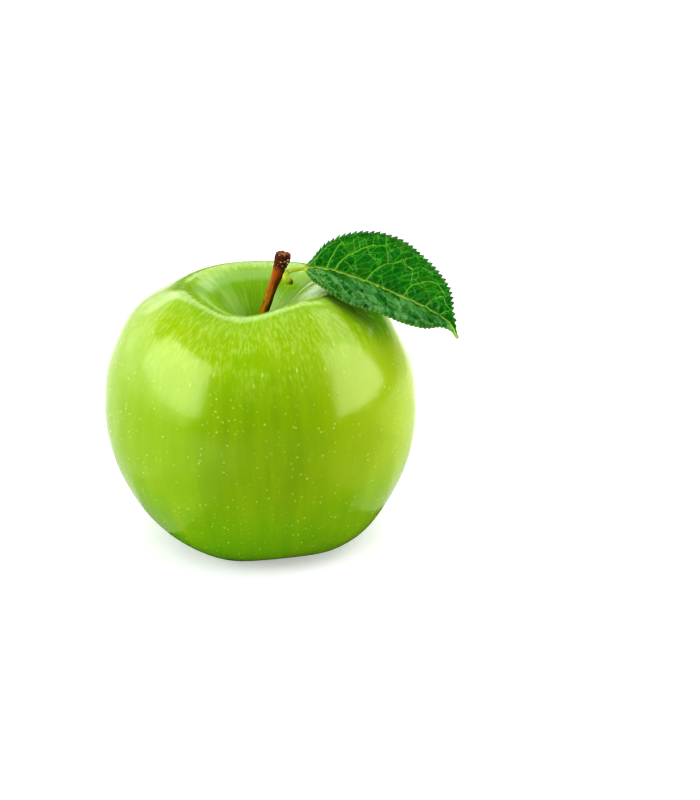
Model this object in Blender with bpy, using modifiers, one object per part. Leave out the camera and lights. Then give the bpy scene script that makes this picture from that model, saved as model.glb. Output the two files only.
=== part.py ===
# A green apple with its stalk, one leaf and the dried calyx in its base.
# Metres, +Z up. The origin lies under the middle of the whole thing, on the
# surface that it rests on. Lengths below are in millimetres unless they say
# otherwise, and MM turns them into metres.

import math

import bmesh
import bpy
import numpy as np

OBJECT_NAME = "green_apple"
MM = 0.001

# Place of the core line. The leaf reaches out to the right, so the fruit
# stands a little left of the middle.
CORE_X = -4.9
CORE_Y = 0.0

# Fruit: radius and height of its skin, from the rim of the stalk's hole,
# out over the shoulder, down the side and up into the basin underneath.
FRUIT_PROFILE = [
    (1.5, 54.4), (3.2, 55.6), (6.2, 58.6), (10.8, 63.5), (18.9, 67.5), (23.7, 65.6),
    (31.8, 60.0), (37.1, 50.2), (39.4, 42.2), (39.6, 31.0), (36.3, 18.3), (28.4, 5.3),
    (18.5, 0.6), (13.0, 0.1), (8.4, 3.6), (4.6, 8.0), (2.7, 9.0),
]
FRUIT_HEIGHT = 67.0
FRUIT_RINGS = 34
FRUIT_SIDES = 54
FRUIT_LEAN = -0.0207            # sideways shift for each millimetre of height
STALK_HOLE_DEPTH = 5.0
CALYX_HOLE_DEPTH = 2.0

# Five lobes round the base, and the uneven rim round the stalk cavity.
LOBES = 5
LOBE_TURN = 0.51                # radians
LOBE_SWELL = 0.019              # share of the radius
LOBE_DROP = 1.5
LOBE_RING = 14.0                # radius where the lobes reach down furthest
LOBE_SPREAD = 9.0
LOBE_TOP = 0.5                  # share of the height where the lobes have died out
RIM_START = 0.6                 # share of the height where the rim's waves begin
RIM_RADIUS = 16.0               # radius where the waves have their full height
RIM_MOST = 1.3                  # how far past that height they may grow
FADE_POWER = 1.5                # how softly the lobes and the waves die out
RIM_WAVES = [                   # waves to the turn, cosine part, sine part
    (1, 0.21, -0.46), (2, 0.26, -0.08), (3, -0.5, -0.33), (4, -0.28, 0.38),
]

# Stalk: middle line from its foot in the hole to the cut end, and diameters.
STALK_ROUTE = [
    (-0.4, 0.0, 49.8, 2.3), (-0.42, 0.0, 54.2, 2.3), (-0.15, 0.0, 56.8, 2.3), (0.7, 0.1, 59.5, 2.25),
    (1.7, 0.2, 62.6, 2.3), (3.3, 0.5, 67.2, 2.4), (4.3, 0.8, 69.8, 2.75), (5.15, 1.05, 72.2, 3.1),
    (5.6, 1.25, 73.6, 3.6), (5.95, 1.4, 74.8, 4.0), (6.1, 1.5, 75.8, 3.6),
]
STALK_POINTS = 26

# Leaf: middle line of the petiole from its heel beside the stalk to the
# blade, with diameters, and then the midrib to the tip.
PETIOLE_ROUTE = [
    (8.1, -0.5, 68.7, 1.1), (7.4, -0.55, 69.0, 1.7), (6.95, -0.5, 69.8, 1.75), (6.95, -0.35, 70.7, 1.4),
    (7.4, 0.1, 71.35, 1.15), (8.4, 0.7, 71.55, 1.0), (9.7, 1.2, 71.6, 0.95), (11.1, 1.5, 71.6, 0.9),
]
MIDRIB_ROUTE = [
    (11.1, 1.5, 71.6), (14.6, 1.0, 71.5), (18.8, 0.2, 71.0), (24.1, -1.0, 69.6), (29.1, -2.5, 68.1),
    (33.6, -4.3, 66.6), (38.1, -6.3, 65.2), (41.9, -8.3, 63.9), (45.6, -10.5, 62.3),
    (47.5, -11.8, 61.1), (49.1, -13.2, 58.2),
]
# Outline of each half: share of the midrib's length, and half width.
FAR_OUTLINE = [
    (0.0, 0.5), (0.05, 3.1), (0.1, 6.9), (0.2, 11.5), (0.3, 13.5), (0.4, 13.9), (0.5, 13.4),
    (0.6, 12.2), (0.7, 10.1), (0.8, 7.0), (0.9, 2.1), (0.95, 0.7), (1.0, 0.35),
]
NEAR_OUTLINE = [
    (0.0, 0.5), (0.05, 4.9), (0.1, 8.0), (0.2, 11.3), (0.3, 12.7), (0.45, 12.4), (0.6, 11.5),
    (0.7, 10.8), (0.8, 8.9), (0.85, 7.2), (0.9, 3.4), (0.95, 0.9), (1.0, 0.35),
]
LEAF_TILT = 26.0                # degrees that the blade rises toward the back
LEAF_FOLD = 20.0                # degrees that each half rises from the midrib
LEAF_THICK = 0.65
LEAF_ARCH = 0.7                 # bulge of each half between the midrib and the margin
LEAF_WAVE = 0.3                 # height of the margin's slow waves
LEAF_WAVES = 2.5
LEAF_FULL = 6.0                 # half width where the bulge and waves have their full height
RIB_DEEP = 0.55                 # how far the midrib stands out underneath
RIB_HALF = 0.7
RIB_SHARE = 0.35                # most of the half width that the rib may take
RIB_TAPER = 0.7                 # share of its depth that the rib loses toward the tip
TEETH = 42                      # along each margin
TOOTH_DEEP = 0.5
TOOTH_HOOK = 0.4                # lean of a tooth's point to the tip, as a share of a step
TOOTH_STEPS = 3
TOOTH_SLANT = 0.5               # steepest margin that the teeth are corrected for
TOOTH_FADE = 0.12               # share of the margin over which the teeth grow and fade
PETIOLE_STEPS = 16

# Calyx: a short plug in the basin, five dried sepals and a tuft of stamens.
PLUG_RADIUS = 2.3
PLUG_SIDES = 20
CALYX_TOP = 10.6                # the plug's end inside the fruit
CALYX_RING = 8.3                # the plug's open end, where the sepals start
SEPALS = 5
SEPAL_ROUTE = [                 # distance from the core line, height, width
    (1.3, 8.9, 1.9), (1.9, 7.6, 2.4), (2.0, 6.3, 2.2), (1.6, 5.1, 1.7), (1.8, 4.1, 1.3), (2.9, 3.6, 0.7),
]
SEPAL_THICK = 0.65
SEPAL_STEPS = 9
SEPAL_CUP = 0.2                 # how far a sepal's edges bend inward, as a share of its width
SEPAL_NEAREST = 1.2             # least radius that a sepal's width is bent round
SEPAL_STRETCH = (0.9, 1.08)     # least and most of each random draw
SEPAL_TURN = (-0.1, 0.1)
SEPAL_CURL = (0.6, 1.2)
STAMENS = 11
STAMEN_SIDES = 4
STAMEN_RINGS = 4
STAMEN_LENGTH = 4.3
STAMEN_WIDTH = 0.45
STAMEN_ROOT = 0.6               # how far a stamen starts inside the plug
STAMEN_TAPER = 0.3
STAMEN_STRETCH = (0.75, 1.0)
STAMEN_START = (0.2, 0.9)       # distance from the core line at the root
STAMEN_SPREAD = (0.6, 1.5)      # and at the end
SEED = 7

COLOURS = {                     # linear colour and roughness
    "apple": ((0.32, 0.56, 0.02), 0.28),
    "stalk": ((0.17, 0.065, 0.012), 0.7),
    "leaf": ((0.035, 0.2, 0.018), 0.42),
    "calyx": ((0.1, 0.065, 0.025), 0.85),
}


def start_empty():
    """Remove what the scene holds and make the parts' collection."""
    for obj in list(bpy.data.objects):
        bpy.data.objects.remove(obj, do_unlink=True)
    group = bpy.data.collections.new(OBJECT_NAME)
    bpy.context.scene.collection.children.link(group)
    return group


def colour(obj):
    """Give the object the material that carries its name."""
    base, roughness = COLOURS[obj.name]
    material = bpy.data.materials.new(obj.name)
    material.use_nodes = True
    shader = material.node_tree.nodes["Principled BSDF"]
    shader.inputs["Base Color"].default_value = (*base, 1.0)
    shader.inputs["Roughness"].default_value = roughness
    shader.inputs["Metallic"].default_value = 0.0
    obj.data.materials.clear()
    obj.data.materials.append(material)


def smooth_through(points, shares):
    """Points at even shares of a Catmull-Rom curve's length, from 0 to 1."""
    known = np.array(points, dtype=float)
    known = np.vstack([2 * known[0] - known[1], known, 2 * known[-1] - known[-2]])
    spans = len(known) - 3

    def at(place):
        first = np.minimum((place * spans).astype(int), spans - 1)
        f = (place * spans - first)[:, None]
        a, b, c, d = (known[first + k] for k in range(4))
        bend = (2 * a - 5 * b + 4 * c - d) * f ** 2 + (3 * b - 3 * c + d - a) * f ** 3
        return 0.5 * (2 * b + (c - a) * f + bend)

    fine = np.linspace(0.0, 1.0, 600)
    steps = np.linalg.norm(np.diff(at(fine), axis=0), axis=1)
    run = np.concatenate([[0.0], np.cumsum(steps)])
    return at(np.interp(np.asarray(shares) * run[-1], run, fine))


def curve_length(points):
    """Length of the smooth curve through the points."""
    fine = smooth_through(points, np.linspace(0.0, 1.0, 600))
    return float(np.linalg.norm(np.diff(fine, axis=0), axis=1).sum())


def unit(vectors):
    return vectors / np.linalg.norm(vectors, axis=-1, keepdims=True)


def ease(value):
    """0 below 0, 1 above 1 and an S between."""
    value = np.clip(value, 0.0, 1.0)
    return value * value * (3.0 - 2.0 * value)


def baked_mesh(obj):
    """Mesh of an object with its modifiers, or of a curve with its caps joined."""
    depsgraph = bpy.context.evaluated_depsgraph_get()
    return bpy.data.meshes.new_from_object(obj.evaluated_get(depsgraph))


def turned(name, profile, sides, group):
    """Solid of a profile of (radius, height) pairs turned round +Z."""
    mesh = bpy.data.meshes.new(name)
    edges = [(i, i + 1) for i in range(len(profile) - 1)]
    mesh.from_pydata([(r, 0.0, z) for r, z in profile], edges, [])
    obj = bpy.data.objects.new(name, mesh)
    group.objects.link(obj)
    screw = obj.modifiers.new("turn", "SCREW")
    screw.steps = sides
    screw.render_steps = sides
    screw.use_merge_vertices = True
    screw.merge_threshold = 0.000001
    obj.data = baked_mesh(obj)
    obj.modifiers.clear()
    bpy.data.meshes.remove(mesh)
    return obj


def lofted(name, rings, group):
    """Closed solid through rings of equally many points, as explicit triangles."""
    count, around = rings.shape[:2]
    centres = rings[[0, -1]].mean(axis=1)
    points = np.concatenate([rings.reshape(-1, 3), centres])
    k, j = (grid.ravel() for grid in np.meshgrid(range(count - 1), range(around), indexing="ij"))
    after = (j + 1) % around
    here, there = k * around, (k + 1) * around
    # The diagonal turns over at the ring's halfway mark, so a thin plate has
    # the same triangles on both faces.
    top = (j < around // 2)[:, None]
    one = np.where(top, np.c_[here + j, there + j, there + after], np.c_[here + j, there + j, here + after])
    two = np.where(top, np.c_[here + j, there + after, here + after],
                   np.c_[here + after, there + j, there + after])
    side = np.arange(around)
    first_cap = np.c_[side, (side + 1) % around, np.full(around, count * around)]
    last = (count - 1) * around
    last_cap = np.c_[last + (side + 1) % around, last + side, np.full(around, count * around + 1)]
    faces = np.concatenate([one, two, first_cap, last_cap])
    mesh = bpy.data.meshes.new(name)
    mesh.from_pydata((points * MM).tolist(), [], faces.tolist())
    obj = bpy.data.objects.new(name, mesh)
    group.objects.link(obj)
    point_outward(mesh)
    return obj


def point_outward(mesh):
    """Turn a closed mesh's faces outward."""
    work = bmesh.new()
    work.from_mesh(mesh)
    bmesh.ops.recalc_face_normals(work, faces=work.faces)
    if work.calc_volume(signed=True) < 0.0:
        bmesh.ops.reverse_faces(work, faces=work.faces)
    work.to_mesh(mesh)
    work.free()


def keep_outer_skin(mesh):
    """Fill the hollows that joining closed off, and drop loose scraps."""
    work = bmesh.new()
    work.from_mesh(mesh)
    work.verts.ensure_lookup_table()
    left = set(work.verts)
    bodies = []
    while left:
        body = []
        queue = [left.pop()]
        while queue:
            vertex = queue.pop()
            body.append(vertex)
            for edge in vertex.link_edges:
                other = edge.other_vert(vertex)
                if other in left:
                    left.remove(other)
                    queue.append(other)
        bodies.append(body)
    bodies.sort(key=len)
    for body in bodies[:-1]:
        bmesh.ops.delete(work, geom=body, context="VERTS")
    work.to_mesh(mesh)
    work.free()


def smooth_shade(obj, sharp_degrees):
    obj.data.shade_smooth()
    obj.data.set_sharp_from_angle(angle=math.radians(sharp_degrees))


def core_shift(height):
    """Place of the leaning core line at a height, all in millimetres."""
    return CORE_X + FRUIT_LEAN * (height - FRUIT_HEIGHT / 2)


def fruit_skin(points):
    """Turned points in millimetres, moved onto the lobed and uneven fruit."""
    radius = np.hypot(points[:, 0], points[:, 1])
    angle = np.arctan2(points[:, 1], points[:, 0])
    height = points[:, 2]
    share = height / FRUIT_HEIGHT
    lobes = np.cos(LOBES * (angle - LOBE_TURN))
    low = np.clip(1 - share / LOBE_TOP, 0, 1) ** FADE_POWER
    ring = np.exp(-((radius - LOBE_RING) / LOBE_SPREAD) ** 2)
    crest = np.clip((share - RIM_START) / (1 - RIM_START), 0, 1) ** FADE_POWER
    crest = crest * np.minimum(radius / RIM_RADIUS, RIM_MOST)
    waves = sum(c * np.cos(n * angle) + s * np.sin(n * angle) for n, c, s in RIM_WAVES)
    radius = radius * (1 + LOBE_SWELL * low * lobes)
    # What the lobes push below the surface becomes their flat resting spots.
    height = np.maximum(height - LOBE_DROP * low * ring * lobes + crest * waves, 0)
    x = core_shift(height) + radius * np.cos(angle)
    y = CORE_Y + radius * np.sin(angle)
    return np.stack([x, y, height], axis=1)


def make_apple(group):
    """The fruit: one solid with the stalk's hole above and the calyx's below."""
    skin = smooth_through(FRUIT_PROFILE, np.linspace(0.0, 1.0, FRUIT_RINGS))
    hole_radius, hole_top = FRUIT_PROFILE[0]
    base_radius, base_top = FRUIT_PROFILE[-1]
    hole_floor = hole_top - STALK_HOLE_DEPTH
    base_floor = base_top + CALYX_HOLE_DEPTH
    profile = [(0.0, hole_floor), (hole_radius, hole_floor)]
    profile += [tuple(point) for point in skin]
    profile += [(base_radius, base_floor), (0.0, base_floor)]
    obj = turned("apple", profile, FRUIT_SIDES, group)
    points = np.array([vertex.co for vertex in obj.data.vertices])
    obj.data.vertices.foreach_set("co", (fruit_skin(points) * MM).ravel())
    obj.data.update()
    point_outward(obj.data)
    smooth_shade(obj, 40)
    colour(obj)


def make_stalk(group):
    """The stalk: a tube of changing width, upright in its hole and then leaning."""
    line = smooth_through(STALK_ROUTE, np.linspace(0.0, 1.0, STALK_POINTS))
    data = bpy.data.curves.new("stalk", "CURVE")
    data.dimensions = "3D"
    data.bevel_depth = MM
    data.bevel_resolution = 4
    data.use_fill_caps = True
    spline = data.splines.new("POLY")
    spline.points.add(len(line) - 1)
    for point, (x, y, z, width) in zip(spline.points, line):
        point.co = ((CORE_X + x) * MM, (CORE_Y + y) * MM, z * MM, 1.0)
        point.radius = width / 2
    obj = bpy.data.objects.new("stalk", data)
    group.objects.link(obj)
    colour(obj)


def blade_frames(shares):
    """Midrib points, and the directions along, across to the back, and up out of the blade."""
    place = smooth_through(MIDRIB_ROUTE, shares)
    step = 0.004
    ahead = smooth_through(MIDRIB_ROUTE, np.clip(shares + step, 0, 1))
    behind = smooth_through(MIDRIB_ROUTE, np.clip(shares - step, 0, 1))
    along = unit(ahead - behind)
    tilt = math.radians(LEAF_TILT)
    facing = np.array([0.0, -math.sin(tilt), math.cos(tilt)])
    up = unit(facing - (along @ facing)[:, None] * along)
    return place, along, np.cross(up, along), up


def leaf_margin(outline, length):
    """Plain and toothed edge of one half, as distance along the midrib and from it."""
    plain = [(share * length, half) for share, half in outline]
    count = TEETH * TOOTH_STEPS
    shares = np.linspace(0.0, 1.0, count + 1)
    edge = smooth_through(plain, shares)
    step = np.gradient(edge, axis=0)
    slant = np.clip(unit(step)[:, 0], TOOTH_SLANT, 1.0)
    rise = (np.arange(count + 1) % TOOTH_STEPS) / (TOOTH_STEPS - 1)
    size = ease(shares / TOOTH_FADE) * ease((1 - shares) / TOOTH_FADE)
    out = TOOTH_DEEP * (rise - 0.5) * size / slant
    hook = TOOTH_HOOK * step[:, 0] * rise * size
    return edge, edge + np.stack([hook, out], axis=1)


def plate_rings(far, near, length):
    """Closed sections of the blade: seven points over the top and seven under it."""
    middle = (far[0][:, 0] + near[0][:, 0]) / 2
    rings = []
    inner = np.minimum(RIB_HALF / np.minimum(far[0][:, 1], near[0][:, 1]), RIB_SHARE)
    stations = [(near, -1.0, 1.0), (near, -1.0, 0.5), (near, -1.0, inner), (far, 1.0, 0.0)]
    stations += [(far, 1.0, inner), (far, 1.0, 0.5), (far, 1.0, 1.0)]
    for (plain, toothed), sign, q in stations:
        side = toothed if np.all(q == 1.0) else plain
        q = np.broadcast_to(q, middle.shape)
        share = np.clip((middle + (side[:, 0] - middle) * q) / length, 0.0, 1.0)
        width = side[:, 1] * q
        place, along, back, up = blade_frames(share)
        fold = math.radians(LEAF_FOLD)
        room = ease(side[:, 1] / LEAF_FULL)
        lift = width * math.sin(fold) + LEAF_ARCH * 4 * q * (1 - q) * room
        lift = lift + LEAF_WAVE * q ** 2 * np.sin(2 * math.pi * LEAF_WAVES * share + sign) * room
        point = place + back * (sign * width * math.cos(fold))[:, None] + up * lift[:, None]
        rib = RIB_DEEP * np.exp(-(width / RIB_HALF) ** 2) * (1 - RIB_TAPER * share)
        half = LEAF_THICK / 2
        rings.append((point + up * half, point - up * (half + rib)[:, None]))
    top = [pair[0] for pair in rings]
    under = [pair[1] for pair in reversed(rings)]
    return np.stack(top + under, axis=1)


def petiole_rings(around):
    """Round sections of the petiole, from its heel to just before the blade."""
    shares = np.linspace(0.0, 1.0, PETIOLE_STEPS)
    line = smooth_through(PETIOLE_ROUTE, shares)
    place, width = line[:, :3], line[:, 3]
    along = unit(np.gradient(place, axis=0))
    up = blade_frames(np.zeros(1))[3][0]
    turn = math.pi - (np.arange(around) + 0.5) * 2 * math.pi / around
    rings = []
    for k in reversed(range(PETIOLE_STEPS)):
        up = unit(up - (up @ along[k]) * along[k])
        back = np.cross(up, along[k])
        spoke = np.cos(turn)[:, None] * back + np.sin(turn)[:, None] * up
        rings.append(place[k] + spoke * width[k] / 2)
    return np.stack(rings[::-1])


def make_leaf(group):
    """The leaf: petiole and toothed blade in one closed skin, ribbed underneath."""
    length = curve_length(MIDRIB_ROUTE)
    far = leaf_margin(FAR_OUTLINE, length)
    near = leaf_margin(NEAR_OUTLINE, length)
    blade = plate_rings(far, near, length)
    petiole = petiole_rings(blade.shape[1])
    rings = np.concatenate([petiole[:-1], blade[1:]]) + np.array([CORE_X, CORE_Y, 0.0])
    obj = lofted("leaf", rings, group)
    smooth_shade(obj, 50)
    colour(obj)


def sepal(number, draw, group):
    """One dried sepal: a cupped, tapering strip that turns out at its tip."""
    stretch = draw.uniform(*SEPAL_STRETCH)
    angle = 2 * math.pi * number / SEPALS + draw.uniform(*SEPAL_TURN)
    curl = draw.uniform(*SEPAL_CURL)
    route = [(r, CALYX_RING + (z - CALYX_RING) * stretch, w) for r, z, w in SEPAL_ROUTE]
    tip_r, tip_z, tip_w = route[-1]
    route[-1] = (route[-2][0] + (tip_r - route[-2][0]) * curl, tip_z, tip_w)
    line = smooth_through(route, np.linspace(0.0, 1.0, SEPAL_STEPS))
    along = unit(np.gradient(line[:, :2], axis=0))
    outward = np.stack([-along[:, 1], along[:, 0]], axis=1)
    across = np.array([-0.5, 0.0, 0.5, 0.5, 0.0, -0.5])
    layer = np.array([1.0, 1.0, 1.0, -1.0, -1.0, -1.0]) * SEPAL_THICK / 2
    rings = []
    for (r, z, width), normal in zip(line, outward):
        depth = layer - SEPAL_CUP * width * (2 * across) ** 2
        reach = r + normal[0] * depth
        height = z + normal[1] * depth
        turn = angle + across * width / max(r, SEPAL_NEAREST)
        rings.append(np.stack([reach * np.cos(turn), reach * np.sin(turn), height], axis=1))
    rings = np.stack(rings) + np.array([core_shift(CALYX_RING), CORE_Y, 0.0])
    return lofted("sepal_%d" % number, rings, group)


def stamen(number, draw, group):
    """One dried stamen: a thin spike from the plug's mouth."""
    angle = draw.uniform(0.0, 2 * math.pi)
    start = draw.uniform(*STAMEN_START)
    spread = draw.uniform(*STAMEN_SPREAD)
    length = STAMEN_LENGTH * draw.uniform(*STAMEN_STRETCH)
    shares = np.linspace(0.0, 1.0, STAMEN_RINGS)
    reach = start + (spread - start) * shares ** 1.5
    half = STAMEN_WIDTH / 2 * (1 - STAMEN_TAPER * shares)
    corners = np.arange(STAMEN_SIDES) * 2 * math.pi / STAMEN_SIDES
    x = reach[:, None] * math.cos(angle) + half[:, None] * np.cos(corners)
    y = reach[:, None] * math.sin(angle) + half[:, None] * np.sin(corners)
    z = np.broadcast_to((CALYX_RING + STAMEN_ROOT - length * shares)[:, None], x.shape)
    rings = np.stack([x + core_shift(CALYX_RING), y + CORE_Y, z], axis=-1)
    return lofted("stamen_%d" % number, rings, group)


def make_calyx(group):
    """The calyx: plug, sepals and stamens joined into one body."""
    draw = np.random.default_rng(SEED)
    pieces = bpy.data.collections.new("calyx_pieces")
    bpy.context.scene.collection.children.link(pieces)
    made = [sepal(number, draw, pieces) for number in range(SEPALS)]
    made += [stamen(number, draw, pieces) for number in range(STAMENS)]
    plug = [
        (0.0, CALYX_TOP), (PLUG_RADIUS, CALYX_TOP), (PLUG_RADIUS, CALYX_RING),
        (PLUG_RADIUS * 0.5, CALYX_RING + 0.3), (0.0, CALYX_RING + 0.4),
    ]
    obj = turned("calyx", plug, PLUG_SIDES, group)
    points = np.array([vertex.co for vertex in obj.data.vertices]) + (core_shift(CALYX_RING), CORE_Y, 0.0)
    obj.data.vertices.foreach_set("co", (points * MM).ravel())
    point_outward(obj.data)
    union = obj.modifiers.new("join", "BOOLEAN")
    union.operation = "UNION"
    union.operand_type = "COLLECTION"
    union.collection = pieces
    union.solver = "EXACT"
    joined = baked_mesh(obj)
    keep_outer_skin(joined)
    obj.modifiers.clear()
    obj.data = joined
    for piece in made:
        bpy.data.objects.remove(piece, do_unlink=True)
    bpy.data.collections.remove(pieces)
    smooth_shade(obj, 35)
    colour(obj)


def main():
    group = start_empty()
    make_apple(group)
    make_stalk(group)
    make_leaf(group)
    make_calyx(group)


main()
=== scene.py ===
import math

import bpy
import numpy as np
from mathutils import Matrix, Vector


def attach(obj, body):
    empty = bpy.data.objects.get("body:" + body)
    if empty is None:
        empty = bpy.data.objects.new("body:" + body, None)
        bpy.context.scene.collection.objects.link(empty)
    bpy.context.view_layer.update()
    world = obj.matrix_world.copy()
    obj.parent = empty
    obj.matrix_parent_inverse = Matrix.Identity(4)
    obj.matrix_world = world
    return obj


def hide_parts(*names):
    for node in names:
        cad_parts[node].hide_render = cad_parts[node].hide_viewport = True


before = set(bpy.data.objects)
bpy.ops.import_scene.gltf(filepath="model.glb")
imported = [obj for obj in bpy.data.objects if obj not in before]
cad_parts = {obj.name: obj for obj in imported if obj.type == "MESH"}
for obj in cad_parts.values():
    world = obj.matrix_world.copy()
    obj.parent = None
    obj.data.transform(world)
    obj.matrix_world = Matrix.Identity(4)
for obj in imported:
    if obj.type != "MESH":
        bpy.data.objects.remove(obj)        # the body "root", with the nodes apple, stalk, leaf and calyx

# A green apple with its stalk, one toothed leaf and the dried calyx underneath,
# on a pale floor among large soft lights. Lengths in the dictionaries are
# in millimetres unless a note says otherwise, and mm turns them into metres.

mm = 0.001
turnAll = 2 * math.pi
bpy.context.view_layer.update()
print("frame loaded:", ", ".join(sorted(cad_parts)))


# Small numpy tools, shared by all the pieces.

def unit(v):
    # each vector divided by its own length
    return v / np.maximum(np.linalg.norm(v, axis=-1, keepdims=True), 1e-12)


def ease(v):
    # 0 below 0, 1 above 1, and 3v^2 - 2v^3 between
    v = np.clip(v, 0.0, 1.0)
    return v * v * (3.0 - 2.0 * v)


def between(v, low, high):
    # the ease from 0 where v is low to 1 where it is high
    return ease((v - low) / (high - low))


def within(v, start, full, fade, end):
    # the ease up from start to full, and down again from fade to end
    return between(v, start, full) * between(v, end, fade)


def bell(v, middle, half):
    # 1 at the middle, falling off as exp(-x^2), with x in halves
    return np.exp(-((v - middle) / half) ** 2)


def throughPoints(points, shares):
    # Catmull-Rom curve at even shares of its length: a cubic from each point to the
    # next, whose slope at a point is half the step between that point's neighbours
    known = np.array(points, dtype=float)
    known = np.vstack([2 * known[0] - known[1], known, 2 * known[-1] - known[-2]])
    spans = len(known) - 3

    def at(place):
        first = np.minimum((place * spans).astype(int), spans - 1)
        f = (place * spans - first)[:, None]
        a, b, c, d = (known[first + k] for k in range(4))
        bend = (2 * a - 5 * b + 4 * c - d) * f ** 2 + (3 * b - 3 * c + d - a) * f ** 3
        return 0.5 * (2 * b + (c - a) * f + bend)

    fine = np.linspace(0.0, 1.0, 600)
    run = runAlong(at(fine))
    return at(np.interp(np.asarray(shares) * run[-1], run, fine))


def runAlong(line):
    # length of the line up to each of its points
    steps = np.linalg.norm(np.diff(line, axis=0), axis=1)
    return np.concatenate([[0.0], np.cumsum(steps)])


def softened(rows, spread):
    # each column of the rows blurred with a bell of that many rows, its ends held in line
    reach = int(3 * spread)
    weights = np.exp(-0.5 * (np.arange(-reach, reach + 1) / spread) ** 2)
    weights = weights / weights.sum()
    before = 2 * rows[0] - rows[reach:0:-1]
    after = 2 * rows[-1] - rows[-2:-reach - 2:-1]
    padded = np.vstack([before, rows, after])
    return np.stack([np.convolve(column, weights, "valid") for column in padded.T], axis=1)


def unevenness(places, size, seed):
    # sum of plane waves with random headings and starts, about one wave to each size,
    # scaled so that most of it lies between -1 and 1
    count = 18
    draw = np.random.default_rng(seed)
    heading = unit(draw.normal(size=(count, places.shape[-1])))
    heading = heading * draw.uniform(0.6, 1.5, (count, 1)) * turnAll / size
    start = draw.uniform(0.0, turnAll, count)
    total = np.zeros(places.shape[:-1])
    for direction, phase in zip(heading, start):
        total += np.sin(places @ direction + phase)
    return total / math.sqrt(count * 2)


def closedShell(rings):
    # rings[k, j] is the point at step k along and j round. A quad joins four neighbours,
    # a fan from the middle of each end ring closes it, and the faces are turned outward
    count, around = rings.shape[:2]
    points = np.concatenate([rings.reshape(-1, 3), rings[[0, -1]].mean(axis=1)])
    k, j = np.meshgrid(np.arange(count - 1), np.arange(around), indexing="ij")
    here = (k * around + j).ravel()
    after = (k * around + (j + 1) % around).ravel()
    quads = np.stack([here, after, after + around, here + around], axis=1)
    side = np.arange(around)
    beside = (side + 1) % around
    last = (count - 1) * around
    fans = np.concatenate([
        np.stack([beside, side, np.full(around, count * around)], axis=1),
        np.stack([last + side, last + beside, np.full(around, count * around + 1)], axis=1),
    ])
    corners = np.concatenate([fans, quads[:, :3], quads[:, [0, 2, 3]]])
    a, b, c = (points[corners[:, i]] for i in range(3))
    if np.einsum("ij,ij->", a - points[0], np.cross(b - points[0], c - points[0])) < 0:
        quads, fans = quads[:, ::-1], fans[:, ::-1]
    return points, quads, fans


def makePiece(name, shells, node, material):
    # one mesh of closed shells, each given as (rings in mm, {attribute: values at the
    # rings}), which stands for the CAD node and rides on the one body
    points, quads, fans, marks, start = [], [], [], {}, 0
    for rings, values in shells:
        p, q, f = closedShell(rings)
        points.append(p)
        quads.append(q + start)
        fans.append(f + start)
        for key, value in values.items():
            ends = value[[0, -1]].mean(axis=1).reshape(2, -1)
            marks.setdefault(key, []).append(np.concatenate([value.reshape(len(p) - 2, -1), ends]))
        start += len(p)
    quads, fans = np.concatenate(quads), np.concatenate(fans)
    mesh = bpy.data.meshes.new(name)
    mesh.vertices.add(start)
    mesh.vertices.foreach_set("co", (np.concatenate(points) * mm).ravel())
    mesh.loops.add(quads.size + fans.size)
    mesh.loops.foreach_set("vertex_index", np.concatenate([quads.ravel(), fans.ravel()]))
    mesh.polygons.add(len(quads) + len(fans))
    starts = [np.arange(len(quads)) * 4, quads.size + np.arange(len(fans)) * 3]
    mesh.polygons.foreach_set("loop_start", np.concatenate(starts))
    mesh.update(calc_edges=True)
    mesh.validate()
    mesh.shade_smooth()
    for key, parts in marks.items():
        value = np.concatenate(parts)
        isVector = value.shape[1] == 3
        layer = mesh.attributes.new(key, "FLOAT_VECTOR" if isVector else "FLOAT", "POINT")
        layer.data.foreach_set("vector" if isVector else "value", value.ravel())
    mesh.materials.append(material)
    piece = bpy.data.objects.new(name, mesh)
    bpy.context.scene.collection.objects.link(piece)
    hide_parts(node)
    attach(piece, "root")
    print(name, "has", 2 * len(quads) + len(fans), "triangles")


# Small node tools, shared by all the materials.

def setInputs(tree, node, inputs):
    # an input given as a socket is linked, any other is set
    for key, value in inputs.items():
        if isinstance(value, bpy.types.NodeSocket):
            tree.links.new(value, node.inputs[key])
        else:
            node.inputs[key].default_value = value


def addNode(tree, kind, inputs=None, **settings):
    node = tree.nodes.new("ShaderNode" + kind)
    for key, value in settings.items():
        setattr(node, key, value)
    setInputs(tree, node, inputs or {})
    return node


def doMath(tree, operation, a, b=0.0):
    return addNode(tree, "Math", {0: a, 1: b}, operation=operation).outputs[0]


def times(tree, *parts):
    # the parts multiplied
    product = parts[0]
    for part in parts[1:]:
        product = doMath(tree, "MULTIPLY", product, part)
    return product


def ramp(tree, value, low, high, start=0.0, end=1.0):
    # start where the value is low, end where it is high, with a smooth step between
    inputs = {"Value": value, "From Min": low, "From Max": high, "To Min": start, "To Max": end}
    return addNode(tree, "MapRange", inputs, interpolation_type="SMOOTHSTEP").outputs["Result"]


def blendColour(tree, share, first, second):
    pair = [v if isinstance(v, bpy.types.NodeSocket) else (*v, 1.0) for v in (first, second)]
    inputs = {0: share, 6: pair[0], 7: pair[1]}
    return addNode(tree, "Mix", inputs, data_type="RGBA").outputs[2]


def mark(tree, name, output="Fac"):
    # an attribute of the mesh, as its value or its vector
    return addNode(tree, "Attribute", attribute_name=name).outputs[output]


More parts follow.
